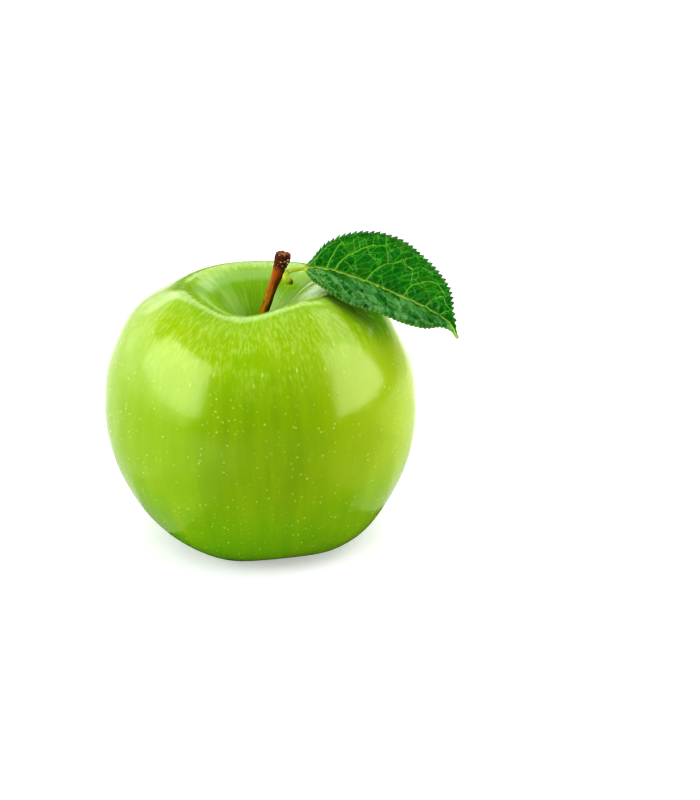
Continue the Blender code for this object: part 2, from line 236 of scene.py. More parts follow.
def newGroup(name, inputs, outputs):
    # an empty shader group with number sockets, apart from Vector, and its two end nodes
    tree = bpy.data.node_groups.new(name, "ShaderNodeTree")
    for label in inputs:
        kind = "NodeSocketVector" if label == "Vector" else "NodeSocketFloat"
        tree.interface.new_socket(label, in_out="INPUT", socket_type=kind)
    for label in outputs:
        tree.interface.new_socket(label, in_out="OUTPUT", socket_type="NodeSocketFloat")
    return tree, tree.nodes.new("NodeGroupInput").outputs, tree.nodes.new("NodeGroupOutput").inputs


def useGroup(tree, group, inputs):
    return addNode(tree, "Group", inputs, node_tree=group).outputs


def makeDots():
    # scattered dots: Voronoi cells of one size, a dot of the given radius at the heart of
    # some of them, cut by the surface so that they differ in width and strength
    tree, given, out = newGroup("dots", ["Vector", "Cell", "Radius", "Share"], ["Mask"])
    scale = doMath(tree, "DIVIDE", 1.0, given["Cell"])
    cells = addNode(tree, "TexVoronoi", {"Vector": given["Vector"], "Scale": scale})
    away = times(tree, cells.outputs["Distance"], given["Cell"])
    near = doMath(tree, "DIVIDE", away, given["Radius"])
    dot = ramp(tree, near, 0.45, 1.0, 1.0, 0.0)
    split = addNode(tree, "SeparateColor", {"Color": cells.outputs["Color"]})
    kept = doMath(tree, "LESS_THAN", split.outputs[0], given["Share"])
    strength = ramp(tree, split.outputs[1], 0.0, 1.0, 0.35, 1.0)
    tree.links.new(times(tree, dot, kept, strength), out["Mask"])
    return tree


def makeMottle():
    # soft patches: fractal noise of one patch size, spread from 0 at Low to 1 at High
    tree, given, out = newGroup("mottle", ["Vector", "Size", "Low", "High"], ["Value"])
    scale = doMath(tree, "DIVIDE", 1.0, given["Size"])
    inputs = {"Vector": given["Vector"], "Scale": scale, "Detail": 3.0, "Roughness": 0.55}
    noise = addNode(tree, "TexNoise", inputs).outputs["Fac"]
    tree.links.new(ramp(tree, noise, given["Low"], given["High"]), out["Value"])
    return tree


dots = makeDots()
mottle = makeMottle()


def dotted(tree, vector, cell, radius, share):
    inputs = {"Vector": vector, "Cell": cell, "Radius": radius, "Share": share}
    return useGroup(tree, dots, inputs)["Mask"]


def patches(tree, vector, size, low, high):
    inputs = {"Vector": vector, "Size": size, "Low": low, "High": high}
    return useGroup(tree, mottle, inputs)["Value"]


def newMaterial(name):
    material = bpy.data.materials.new(name)
    material.use_nodes = True
    tree = material.node_tree
    return material, tree, tree.nodes["Principled BSDF"]


def stretched(tree, vector, x, y, z):
    # the vector with each part multiplied, which stretches a pattern along the small ones
    node = addNode(tree, "VectorMath", {0: vector, 1: (x, y, z)}, operation="MULTIPLY")
    return node.outputs["Vector"]


def solidPlace(tree):
    # the piece's own coordinates, in millimetres
    return stretched(tree, addNode(tree, "TexCoord").outputs["Object"], 1000, 1000, 1000)


def layered(tree, look, base, rows, fields):
    # the base tone with others laid over it, one after another. A row holds a tone, how
    # strongly it covers at most, and what that is multiplied by: a field's name, a ramp
    # on a field (name, where it starts, where it is full) or patches (name of the space,
    # size, noise where they start and where they are full, and any stretch along Z)
    colour = look[base]
    for tone, share, *parts in rows:
        for part in parts:
            name, *numbers = [part] if isinstance(part, str) else part
            value = fields[name]
            if len(numbers) == 2:
                value = ramp(tree, value, *numbers)
            elif numbers:
                if len(numbers) == 4:
                    value = stretched(tree, value, 1, 1, numbers.pop())
                value = patches(tree, value, *numbers)
            share = times(tree, share, value)
        colour = blendColour(tree, share, colour, look[tone])
    return colour


def bumpFrom(tree, height, depth, normal=None):
    # a bump as deep as that, in metres, where the height goes from 0 to 1
    inputs = {"Height": height, "Strength": 1.0, "Distance": depth}
    if normal:
        inputs["Normal"] = normal
    return addNode(tree, "Bump", inputs).outputs["Normal"]


# The fruit's skin.

fruit = {
    "coreX": -4.9, "coreY": 0.0,        # where the core line stands
    "height": 67.0,
    "lean": -0.0207,                    # sideways shift for each millimetre of height
    "profile": [                        # radius and height, from the stalk to the basin underneath
        (1.22, 54.2), (3.2, 55.6), (6.2, 58.6), (10.8, 63.5), (18.9, 67.5), (23.7, 65.6),
        (31.8, 60.0), (37.1, 50.2), (39.4, 42.2), (39.6, 31.0), (36.3, 18.3), (28.4, 5.3),
        (18.5, 0.6), (13.0, 0.1), (8.4, 3.6), (4.6, 8.0), (2.45, 9.0),
    ],
    "rows": 250, "around": 320,
    "soften": 2.2 / 126,                # share of the rows over which the profile is evened out
    "stalkWell": [(0.4, 49.4), (1.22, 49.4), (1.22, 52.0)],
    "calyxWell": [(2.45, 10.2), (2.45, 11.0), (0.9, 11.0)],
    "lobes": 5, "lobeTurn": 0.51, "lobeSwell": 0.019, "lobeDrop": 1.5,
    "lobeRing": 14.0, "lobeSpread": 9.0, "lobeTop": 0.5,
    "rimStart": 0.6, "rimRadius": 16.0, "rimMost": 1.3, "fade": 1.5,
    "rimWaves": [(1, 0.21, -0.46), (2, 0.26, -0.08), (3, -0.5, -0.33), (4, -0.28, 0.38)],
    "rimLift": 0.5, "rimWide": 8.0,     # the rim stands this much above the plain profile
    "rimShares": (0.7, 0.9),            # shares of the height where that lift starts and is full
    "footSoft": 0.3,                    # how softly the resting spots round off
    # fine folds down into the stalk cavity, and coarse ones in the basin; they and the
    # skin's unevenness start, are full, fade and end so many millimetres down the skin
    "pleats": (19, 26, 35, 47), "pleatDeep": 0.016, "pleatTurn": 1.7, "pleatBand": (2, 9, 17, 30),
    "basinPleats": 10, "basinPleatDeep": 0.3, "basinTurn": 0.2,
    "basinDown": 120.0, "basinWide": 5.0,
    "uneven": 0.13, "unevenSize": 17.0, "unevenBand": (6, 30, 95, 112),
    "patternRadius": 39.0,              # the radius where the skin's patterns have their true width
}


def coreShift(height):
    # the leaning core line's place at a height
    return fruit["coreX"] + fruit["lean"] * (height - fruit["height"] / 2)


def fruitSurface(radius, angle, height, run):
    # a turned point moved onto the fruit: five lobes widen the lower half and reach down
    # round the basin, four waves lift and lower the rim, pleats run into both hollows,
    # the whole leans, and what would sink below the floor rounds off just above it
    f = fruit
    share = height / f["height"]
    lobes = np.cos(f["lobes"] * (angle - f["lobeTurn"]))
    low = np.clip(1 - share / f["lobeTop"], 0, 1) ** f["fade"]
    ring = bell(radius, f["lobeRing"], f["lobeSpread"])
    crest = np.clip((share - f["rimStart"]) / (1 - f["rimStart"]), 0, 1) ** f["fade"]
    crest = crest * np.minimum(radius / f["rimRadius"], f["rimMost"])
    waves = sum(c * np.cos(n * angle) + s * np.sin(n * angle) for n, c, s in f["rimWaves"])
    radius = radius * (1 + f["lobeSwell"] * low * lobes)
    height = height - f["lobeDrop"] * low * ring * lobes + crest * waves
    lift = f["rimLift"] * bell(radius, f["rimRadius"], f["rimWide"])
    height = height + lift * between(share, *f["rimShares"])
    pleats = sum(np.sin(n * (angle + f["pleatTurn"])) for n in f["pleats"])
    height = height + f["pleatDeep"] * pleats * within(run, *f["pleatBand"])
    folds = np.cos(f["basinPleats"] * (angle - f["basinTurn"]))
    height = height + f["basinPleatDeep"] * folds * bell(run, f["basinDown"], f["basinWide"])
    height = (height + np.sqrt(height ** 2 + f["footSoft"] ** 2)) / 2
    x = coreShift(height) + radius * np.cos(angle)
    y = f["coreY"] + radius * np.sin(angle)
    return np.stack([x, y, height], axis=-1)


def skinRings():
    # the profile turned round the core line, with the wells that the stalk and the calyx
    # stand in, and the skin's own place: round the pattern cylinder and down the skin
    f = fruit
    rows = throughPoints(f["profile"], np.linspace(0.0, 1.0, f["rows"]))
    rows = softened(rows, f["soften"] * f["rows"])
    rows = np.vstack([f["stalkWell"], rows, f["calyxWell"]])
    run = runAlong(rows)
    run = run - run[len(f["stalkWell"])]
    angle = np.arange(f["around"]) * turnAll / f["around"]
    radius, turn = np.meshgrid(rows[:, 0], angle, indexing="ij")
    height, down = (np.broadcast_to(column[:, None], radius.shape) for column in (rows[:, 1], run))
    rings = fruitSurface(radius, turn, height, down)
    middle = rings.mean(axis=1, keepdims=True)
    bulge = unevenness(rings, f["unevenSize"], 3) * f["uneven"] * within(down, *f["unevenBand"])
    rings = rings + unit(rings - middle) * bulge[..., None]
    wide = f["patternRadius"]
    return rings, {"skinPlace": np.stack([wide * np.cos(turn), wide * np.sin(turn), down], axis=-1)}


def skinMaterial():
    # the layers' ramps run to the right, to the back and down the skin, in millimetres
    shoulder = [("down", 16.0, 21.0), ("down", 52.0, 26.0)]
    cavity = [("down", 3.0, 8.0), ("down", 30.0, 16.0)]
    look = {
        "top": (0.275, 0.440, 0.001), "side": (0.245, 0.405, 0.001), "base": (0.150, 0.400, 0.001),
        "fresh": (0.185, 0.385, 0.001), "ripe": (0.365, 0.475, 0.001),
        "paintedFrontShade": (0.198, 0.335, 0.001), "paintedLeafShadow": (0.045, 0.340, 0.001),
        "line": (0.36, 0.52, 0.002), "pale": (0.40, 0.60, 0.22), "hollow": (0.205, 0.425, 0.001),
        "streak": (0.38, 0.55, 0.004), "stroke": (0.45, 0.60, 0.12), "frost": (0.42, 0.56, 0.09),
        "deep": (0.140, 0.270, 0.003), "rust": (0.20, 0.17, 0.02), "dot": (0.50, 0.68, 0.15),
        "layers": [
            ("side", 1.0, ("down", 26.0, 62.0)),
            ("base", 1.0, ("down", 58.0, 104.0)),
            ("fresh", 0.5, ("solid", 26.0, 0.42, 0.7)),
            ("ripe", 0.35, ("solid", 33.0, 0.5, 0.72)),
            # riper to the right; painted shade that darkens the front; a painted shadow of the leaf on
            # the skin under it
            ("ripe", 0.6, ("right", -4.0, 34.0), ("down", 30.0, 46.0), ("down", 84.0, 64.0)),
            # painted shade: the front of the fruit darker
            ("paintedFrontShade", 0.75, ("right", 22.0, 6.0), ("right", -22.0, -6.0), ("back", -8.0, -26.0),
             ("down", 36.0, 50.0), ("down", 84.0, 66.0)),
            # painted shadow of the leaf: the skin under it dark green
            ("paintedLeafShadow", 0.85, ("back", 16.0, 7.0), ("back", -20.0, -11.0), ("right", 11.0, 19.0),
             ("down", 44.0, 34.0)),
            ("line", 0.22, ("place", 3.4, 0.35, 0.7, 0.12)),
            ("pale", 0.2, ("down", 17.0, 21.0), ("down", 31.0, 21.0)),
            # long bright and green streaks down into the cavity, darker where it is deep
            ("hollow", 1.0, ("down", 32.0, 18.0)),
            ("streak", 0.8, ("place", 2.6, 0.47, 0.66, 0.13), ("solid", 8.6, 0.35, 0.6), *cavity),
            ("stroke", 0.25, ("place", 1.3, 0.47, 0.66, 0.3), ("solid", 7.3, 0.35, 0.6), *cavity),
            ("deep", 0.85, ("down", 8.5, 0.5)),
            ("rust", 1.0, ("down", 3.5, 0.5), ("place", 7.0, 0.4, 0.6)),
            # a pale frost and short pale strokes in patches on the shoulder, and a pale crest that is a
            # painted highlight along the rim
            ("frost", 0.3, ("place", 5.0, 0.42, 0.7, 0.7), *shoulder),
            ("stroke", 0.52, ("place", 0.9, 0.46, 0.60, 0.4), "stroked", *shoulder),
            # painted highlight along the rim's crest
            ("pale", 0.5, ("down", 14.5, 16.5), ("down", 20.5, 18.0)),
            ("dot", 0.52, "spots"),
        ],
        # where the strokes are, everywhere and on the side away from the leaf
        "strokePatches": (8.0, 0.28, 0.52), "asidePatches": (5.0, 0.36, 0.5),
        "aside": (4.0, -26.0, 0.0, 0.8),
        # the lenticels' cell, radius and share, in two sizes
        "largeDots": (1.7, 0.41, 0.85), "smallDots": (1.1, 0.2, 0.5), "smallShare": 0.45,
        "dotsFrom": (6.0, 22.0), "drawnShare": 0.5, "drawnTo": 22.0,
        "roughness": 0.17, "dotRough": 0.15, "cavityRough": 0.08, "cavityFrom": (21.0, 12.0),
        "fineScale": 1.1, "bumpDeep": 0.00003, "bend": 1.5,
        "scatter": 0.08, "scatterRadius": (0.5, 1.0, 0.1), "scatterReach": 0.002,
    }
    material, tree, shader = newMaterial("appleSkin")
    place, solid = mark(tree, "skinPlace", "Vector"), solidPlace(tree)
    right, back, down = addNode(tree, "SeparateXYZ", {0: place}).outputs
    aside = ramp(tree, right, *look["aside"])
    aside = times(tree, aside, patches(tree, solid, *look["asidePatches"]))
    stroked = doMath(tree, "MAXIMUM", patches(tree, solid, *look["strokePatches"]), aside)

    # pale lenticels, drawn out into dashes on the shoulder, where the skin grew longer
    slower = doMath(tree, "ADD", times(tree, down, look["drawnShare"]), look["drawnTo"])
    drawn = {0: right, 1: back, 2: doMath(tree, "MAXIMUM", down, slower)}
    drawn = addNode(tree, "CombineXYZ", drawn).outputs[0]
    small = times(tree, dotted(tree, drawn, *look["smallDots"]), look["smallShare"])
    spots = doMath(tree, "MAXIMUM", dotted(tree, drawn, *look["largeDots"]), small)
    spots = times(tree, spots, ramp(tree, down, *look["dotsFrom"]))

    fields = {"place": place, "solid": solid, "right": right, "back": back, "down": down,
              "stroked": stroked, "spots": spots}
    rough = doMath(tree, "ADD", look["roughness"], times(tree, spots, look["dotRough"]))
    cavityRough = ramp(tree, down, *look["cavityFrom"], 0.0, look["cavityRough"])
    fine = addNode(tree, "TexNoise", {"Vector": place, "Scale": look["fineScale"], "Detail": 4.0})
    normal = bumpFrom(tree, fine.outputs["Fac"], look["bumpDeep"])
    setInputs(tree, shader, {
        "Base Color": layered(tree, look, "top", look["layers"], fields),
        "Roughness": doMath(tree, "ADD", rough, cavityRough),
        "Normal": bumpFrom(tree, spots, look["bumpDeep"], normal),
        "IOR": look["bend"], "Subsurface Weight": look["scatter"],
        "Subsurface Radius": look["scatterRadius"], "Subsurface Scale": look["scatterReach"],
    })
    return material


makePiece("skin", [skinRings()], "apple", skinMaterial())


# The stalk.

stalk = {
    "route": [                          # x, y, z from the core line, and diameter
        (-0.4, 0.0, 49.8, 2.3), (-0.42, 0.0, 54.2, 2.3), (-0.15, 0.0, 56.8, 2.3),
        (0.7, 0.1, 59.5, 2.25), (1.7, 0.2, 62.6, 2.3), (3.3, 0.5, 67.2, 2.4),
        (4.3, 0.8, 69.8, 2.75), (5.15, 1.05, 72.2, 3.1), (5.6, 1.25, 73.6, 3.6),
        (5.95, 1.4, 74.8, 4.0), (6.1, 1.5, 75.8, 3.6),
    ],
    "steps": 230, "around": 96,
    "endRings": [                       # share of the radius, and height over the cut
        (0.97, 0.1), (0.9, 0.16), (0.78, 0.12), (0.62, 0.02), (0.45, -0.04), (0.28, 0.0),
        (0.12, 0.03),
    ],
    # height and size of the bark's ridges, its swellings, the ring's warts and the cut's crumbs
    "ridges": (0.05, 0.55), "swells": (0.06, 2.6), "warts": (0.09, 0.75), "crumbs": (0.22, 0.8),
    "ridgeWide": 1.4, "ridgeLong": 0.12, "lumpWide": 1.8, "placeWide": 1.2,
    "bareFrom": (6.0, 10.0), "ringFrom": (21.5, 23.0),
}


def tube(route, steps, around, upHint):
    # round sections along a route of (x, y, z, diameter), square to it; returns the
    # centres, spokes, half widths, directions and the length run
    line = throughPoints(route, np.linspace(0.0, 1.0, steps))
    centre, half = line[:, :3], line[:, 3] / 2
    along = unit(np.gradient(centre, axis=0))
    side = unit(np.cross(along, upHint))
    other = np.cross(side, along)
    turn = np.arange(around) * turnAll / around
    spokes = np.cos(turn)[:, None] * side[:, None] + np.sin(turn)[:, None] * other[:, None]
    return centre, spokes, half, along, runAlong(centre)


def stalkRings():
    # a tube whose radius also follows bark ridges, which run along it and wander round,
    # and warts in the ring under the cut; the cut end is a rough disc of shrinking rings
    s = stalk
    centre, spokes, half, along, run = tube(s["route"], s["steps"], s["around"], (0.0, 1.0, 0.0))
    up, turn = np.meshgrid(run, np.arange(s["around"]) * turnAll / s["around"], indexing="ij")

    def barkAt(wide, long):
        return np.stack([np.cos(turn) * wide, np.sin(turn) * wide, up * long], axis=-1)

    bark, lumps = barkAt(s["ridgeWide"], s["ridgeLong"]), barkAt(s["lumpWide"], 1)
    bare, top = between(up, *s["bareFrom"]), between(up, *s["ringFrom"])
    kinds = [("ridges", bark, 11, bare), ("swells", lumps, 13, bare), ("warts", lumps, 12, top)]
    relief = 0
    for kind, places, seed, where in kinds:
        deep, size = s[kind]
        relief = relief + deep * unevenness(places, size, seed) * where
    rings = centre[:, None] + spokes * (half[:, None] + relief)[..., None]
    last = rings[-1] - centre[-1]
    deep, size = s["crumbs"]
    ends = []
    for share, rise in s["endRings"]:
        crumb = unevenness(last * share, size, 14) * deep * (1 - share * 0.5)
        ends.append(centre[-1] + last * share + along[-1] * (rise + crumb)[:, None])
    ends = np.stack(ends)
    rings = np.concatenate([rings, ends])
    cut = np.concatenate([np.zeros_like(turn), np.ones(ends.shape[:2])])
    ends = ends - centre[-1] + (0.0, 0.0, run[-1])
    place = np.concatenate([barkAt(s["placeWide"], 1), ends])
    return rings + (fruit["coreX"], fruit["coreY"], 0.0), {"barkPlace": place, "cut": cut}


def stalkMaterial():
    look = {
        "foot": (0.30, 0.21, 0.01), "low": (0.70, 0.31, 0.006), "middle": (0.40, 0.100, 0.003),
        "paintedSideShade": (0.075, 0.011, 0.002), "dark": (0.06, 0.010, 0.002), "ring": (0.045, 0.009, 0.002),
        "fleck": (0.85, 0.62, 0.33), "cut": (0.52, 0.21, 0.07), "cutDark": (0.12, 0.030, 0.008),
        "layers": [
            ("low", 1.0, ("up", 6.0, 9.5)),
            ("middle", 1.0, ("up", 12.0, 22.0)),
            # painted shade on the stalk's side toward the leaf
            ("paintedSideShade", 0.85, "away"),
            ("dark", 0.4, "grain"),
            ("dark", 0.55, ("place", 1.6, 0.55, 0.7)),
            ("dark", 0.9, "pits"),
            ("ring", 0.85, "ringed"),
            ("fleck", 1.0, "flecks", ("ringed", 0.3, 1.0)),
        ],
        "endLayers": [("cutDark", 1.0, ("place", 0.8, 0.38, 0.58))],
        "uneven": (1.4, 0.35, 0.65), "unevenLong": 0.3, "unevenShare": 0.7,
        "shadeSideFrom": (0.75, -0.55),      # across the stalk, from the side away from the leaf to the side darkened by painted shade
        "grain": (0.6, 0.38, 0.62), "grainLong": 0.1,
        "pits": (1.7, 0.5, 0.6), "flecks": (0.62, 0.27, 0.7),       # cell, radius and share
        "ringFrom": (22.2, 24.0), "roughFrom": (20.0, 23.0), "roughMore": 0.25,
        "grainDeep": 0.00008, "fleckDeep": 0.00006, "roughness": 0.4, "bend": 1.3,
    }
    material, tree, shader = newMaterial("stalkBark")
    place, cut = mark(tree, "barkPlace", "Vector"), mark(tree, "cut")
    apart = addNode(tree, "SeparateXYZ", {0: place}).outputs
    uneven = patches(tree, stretched(tree, place, 1, 1, look["unevenLong"]), *look["uneven"])
    across = doMath(tree, "ADD", apart["X"], times(tree, uneven, look["unevenShare"]))
    ring = ramp(tree, apart["Z"], *look["ringFrom"])
    fields = {
        "place": place, "up": apart["Z"], "away": ramp(tree, across, *look["shadeSideFrom"]),
        "grain": patches(tree, stretched(tree, place, 1, 1, look["grainLong"]), *look["grain"]),
        "pits": dotted(tree, place, *look["pits"]), "flecks": dotted(tree, place, *look["flecks"]),
        "ringed": times(tree, ring, doMath(tree, "SUBTRACT", 1.0, cut)),
    }
    colour = layered(tree, look, "foot", look["layers"], fields)
    end = layered(tree, look, "cut", look["endLayers"], fields)
    rougher = times(tree, ramp(tree, apart["Z"], *look["roughFrom"]), look["roughMore"])
    normal = bumpFrom(tree, fields["grain"], look["grainDeep"])
    setInputs(tree, shader, {
        "Base Color": blendColour(tree, cut, colour, end),
        "Roughness": doMath(tree, "ADD", look["roughness"], rougher),
        "Normal": bumpFrom(tree, fields["flecks"], look["fleckDeep"], normal),
        "IOR": look["bend"],
    })
    return material


makePiece("stem", [stalkRings()], "stalk", stalkMaterial())


# The leaf, with its petiole.

leaf = {
    "petiole": [                        # x, y, z from the core line, and diameter
        (8.35, -0.6, 68.75, 0.9), (7.8, -0.6, 68.95, 1.5), (7.15, -0.6, 69.3, 1.95),
        (6.7, -0.5, 69.95, 1.95), (6.65, -0.35, 70.7, 1.5), (7.05, -0.05, 71.25, 1.2),
        (7.9, 0.4, 71.5, 1.05), (9.4, 1.1, 71.6, 0.95), (11.1, 1.5, 71.6, 0.9),
    ],
    "midrib": [
        (11.1, 1.5, 71.6), (14.6, 1.0, 71.5), (18.8, 0.2, 71.0), (24.1, -1.0, 69.6),
        (29.1, -2.5, 68.1), (33.6, -4.3, 66.6), (38.1, -6.3, 65.2), (41.9, -8.3, 63.9),
        (45.6, -10.5, 62.3), (47.5, -11.8, 61.1), (49.1, -13.2, 58.2),
    ],
    "far": [                            # share of the midrib's length, and half width
        (0.0, 0.5), (0.05, 3.1), (0.1, 6.9), (0.2, 11.5), (0.3, 13.5), (0.4, 13.9), (0.5, 13.4),
        (0.6, 12.2), (0.7, 10.1), (0.8, 7.0), (0.9, 2.1), (0.95, 0.7), (1.0, 0.35),
    ],
    "near": [
        (0.0, 0.5), (0.05, 4.9), (0.1, 8.0), (0.2, 11.3), (0.3, 12.7), (0.45, 12.4), (0.6, 11.5),
        (0.7, 10.8), (0.8, 8.9), (0.85, 7.2), (0.9, 3.4), (0.95, 0.9), (1.0, 0.35),
    ],
    "tilt": 26.0, "fold": 20.0,         # degrees
    "arch": 0.7, "wave": 0.3, "waves": 2.5, "full": 6.0,
    "thick": 0.32, "thickEdge": 0.16, "thinFrom": 0.8, "lift": 0.28,
    "nearTeeth": 0.5,                   # depth of the near margin's teeth beside the far one's
    "teeth": 42, "toothSteps": 8, "toothDeep": 0.8, "toothHook": 0.11, "toothFade": 0.12,
    "toothVaried": (0.75, 1.2), "toothReach": 5, "pointReach": 14, "slantMost": 0.5,
    "columns": 52, "petioleSteps": 44, "petioleLumps": (0.04, 1.1),
    "heelShare": 0.32,                  # share of the petiole that darkens to its scar
    "stemPaint": 8.0, "stemFade": 1.6,  # length of its patterns, and its colour's reach past it
    "stemEdge": 5.0,                    # how far from a margin its colours count as
    "ribDeep": 0.5, "ribHalf": 0.55, "groove": 0.22, "grooveHalf": 0.5, "ribTaper": 0.7,
    "creaseShare": 0.5, "creaseHalf": 0.2,
    "ribPaint": 0.3, "ribPaintTaper": 0.5, "ribPaintMore": 0.04,
    "veinSunk": 0.15, "veinRaised": 0.16, "veinThin": 0.52, "veinSteps": 25, "veinTaper": 0.4,
    "quilt": 0.36, "quiltReach": 1.3, "quiltEdge": 1.2, "netQuilt": 0.26, "netReach": 0.6,
    "underShare": 0.6,                  # how much of the quilting shows underneath
    "netSpan": ((-2.0, 48.0), (-16.0, 17.0)), "netCell": 3.2, "netSquash": 0.62, "netJitter": 0.42,
    "netLean": 52.0, "netLong": 1.8, "netSeed": 5, "netSunk": 0.045, "netHalf": 0.09,
    "netClear": 0.25, "netFrom": (0.1, 0.6), "netAcross": 2.0, "netBatch": 4000,
    "nearPuff": 1.7,                    # how much more the near half swells between its veins
    "nearBright": 2,                    # so many of the near half's veins are pale, the rest dark
    # main side veins: place along the midrib and off it, and half width at the root
    "farVeins": [
        (0.20, [(0.3, 0.0), (1.7, 1.0), (3.0, 2.4), (4.1, 4.2), (5.4, 6.2), (6.6, 7.7)]),
        (0.20, [(5.6, 0.0), (6.0, 1.5), (6.4, 3.0), (6.8, 4.4), (7.1, 6.0), (7.8, 7.9)]),
        (0.13, [(7.8, 7.9), (8.4, 6.9), (9.4, 5.7), (10.1, 4.9)]),
        (0.25, [(7.7, 0.0), (8.4, 2.0), (9.0, 3.4), (10.1, 4.9), (11.2, 6.0), (12.1, 7.2),
                (13.3, 8.4), (14.5, 9.3), (17.2, 10.3)]),
        (0.14, [(17.2, 10.3), (18.0, 11.4), (19.4, 11.3), (20.5, 10.9), (21.0, 9.8)]),
        (0.15, [(17.2, 10.3), (18.3, 8.7), (18.8, 7.5), (19.3, 6.1)]),
        (0.24, [(16.0, 0.0), (16.7, 2.2), (17.6, 4.0), (19.2, 5.9), (20.9, 7.1), (22.1, 8.7)]),
        (0.15, [(22.1, 8.7), (22.8, 8.1), (24.2, 7.5), (25.6, 7.1), (26.3, 5.0), (27.0, 3.1)]),
        (0.13, [(22.1, 8.7), (23.9, 10.2), (24.0, 11.3), (25.4, 11.9)]),
        (0.13, [(25.6, 7.1), (26.7, 8.7), (27.9, 9.0), (29.5, 8.5)]),
        (0.22, [(26.3, 0.0), (27.0, 3.1), (28.4, 4.5), (29.8, 5.7), (31.3, 6.6), (32.8, 6.3),
                (34.7, 5.2), (35.8, 4.6)]),
        (0.18, [(32.6, 0.0), (32.8, 1.2), (33.6, 2.8), (34.6, 3.9), (35.4, 4.0), (36.8, 2.9),
                (38.4, 2.5)]),
        (0.12, [(36.9, 0.0), (37.5, 1.4), (38.6, 1.9)]),
        (0.11, [(9.6, 3.0), (11.0, 2.4), (11.9, 1.6), (12.4, 0.3)]),
        (0.11, [(13.6, 8.1), (14.7, 6.6), (16.7, 5.6), (17.4, 4.4)]),
        (0.10, [(11.2, 6.1), (10.4, 7.7), (9.6, 9.7)]),
        (0.10, [(12.1, 7.3), (11.2, 9.0), (10.5, 10.5)]),
        (0.10, [(13.3, 8.5), (12.6, 9.8), (11.9, 11.4)]),
        (0.10, [(14.5, 9.3), (14.2, 11.2), (14.0, 12.7)]),
        (0.10, [(17.2, 10.3), (16.9, 11.7), (16.3, 13.2)]),
    ],
    "nearVeins": [
        (0.20, [(0.3, 0.0), (1.6, -2.4), (3.2, -4.9), (5.0, -7.4), (7.4, -9.2), (9.6, -9.8)]),
        (0.20, [(2.3, 0.0), (3.9, -3.0), (5.8, -6.2), (7.6, -8.4), (10.6, -10.2), (12.6, -9.6),
                (13.4, -8.4)]),
        (0.22, [(7.4, 0.0), (8.6, -2.6), (10.3, -5.4), (12.6, -8.0), (15.6, -9.9), (18.0, -9.6),
                (19.0, -8.4)]),
        (0.22, [(13.0, 0.0), (14.2, -2.5), (16.0, -5.2), (18.4, -7.7), (21.4, -9.3),
                (23.8, -9.0), (24.9, -7.6)]),
        (0.21, [(18.9, 0.0), (20.1, -2.3), (21.9, -4.8), (24.3, -7.0), (27.4, -8.4),
                (29.4, -7.6), (30.1, -6.2)]),
        (0.20, [(24.7, 0.0), (25.9, -2.2), (27.6, -4.3), (29.8, -6.1), (32.6, -7.0),
                (34.4, -6.2), (34.9, -5.0)]),
        (0.18, [(30.0, 0.0), (31.1, -1.9), (32.7, -3.7), (34.7, -5.0), (37.0, -5.4)]),
        (0.15, [(34.4, 0.0), (35.3, -1.4), (36.6, -2.6), (38.2, -3.3)]),
        (0.12, [(38.0, 0.0), (38.8, -0.9), (39.9, -1.5)]),
    ],
}


def bladeFrames(shares):
    # the midrib's points, and the directions along it, across to the back and up
    place = throughPoints(leaf["midrib"], shares)
    ahead = throughPoints(leaf["midrib"], np.clip(shares + 0.004, 0, 1))
    behind = throughPoints(leaf["midrib"], np.clip(shares - 0.004, 0, 1))
    along = unit(ahead - behind)
    tilt = math.radians(leaf["tilt"])
    facing = np.array([0.0, -math.sin(tilt), math.cos(tilt)])
    up = unit(facing - (along @ facing)[..., None] * along)
    return place, along, np.cross(up, along), up


def leafMargin(outline, length):
    # one half's plain edge, as distance along the midrib and off it, and the shift that
    # makes its teeth: each tooth swells out and forward, then drops back in one step
    count = leaf["teeth"] * leaf["toothSteps"]
    shares = np.linspace(0.0, 1.0, count + 1)
    edge = throughPoints([(share * length, half) for share, half in outline], shares)
    step = np.gradient(edge, axis=0)
    slant = np.clip(unit(step)[:, 0], leaf["slantMost"], 1.0)
    rise = (np.arange(count + 1) % leaf["toothSteps"]) / (leaf["toothSteps"] - 1)
    draw = np.random.default_rng(21)
    varied = np.repeat(draw.uniform(*leaf["toothVaried"], leaf["teeth"]), leaf["toothSteps"])
    varied = np.append(varied, varied[-1])
    size = ease(shares / leaf["toothFade"]) * ease((1 - shares) / leaf["toothFade"]) * varied
    out = leaf["toothDeep"] * (rise ** 0.8 - 0.5) * size / slant
    hook = leaf["toothHook"] * leaf["toothSteps"] * step[:, 0] * rise ** 2 * size
    return edge, np.stack([hook, out], axis=1), rise * size


def lineMask(flat, veins):
    # for each place on the flat blade: how strongly it lies on a vein, exp(-(distance /
    # half width)^2) with the width tapering along the vein, and the distance to the nearest
    strongest = np.zeros(flat.shape[:-1])
    nearest = np.full(flat.shape[:-1], np.inf)
    steps = leaf["veinSteps"]
    for half, route in veins:
        line = throughPoints(route, np.linspace(0.0, 1.0, steps + 1))
        for number, (start, end) in enumerate(zip(line[:-1], line[1:])):
            step = end - start
            share = np.clip(((flat - start) @ step) / (step @ step), 0.0, 1.0)
            away = np.linalg.norm(flat - start - share[..., None] * step, axis=-1)
            wide = leaf["veinThin"] * half * (1 - leaf["veinTaper"] * number / steps)
            strongest = np.maximum(strongest, np.exp(-(away / wide) ** 2))
            nearest = np.minimum(nearest, away)
    return strongest, nearest


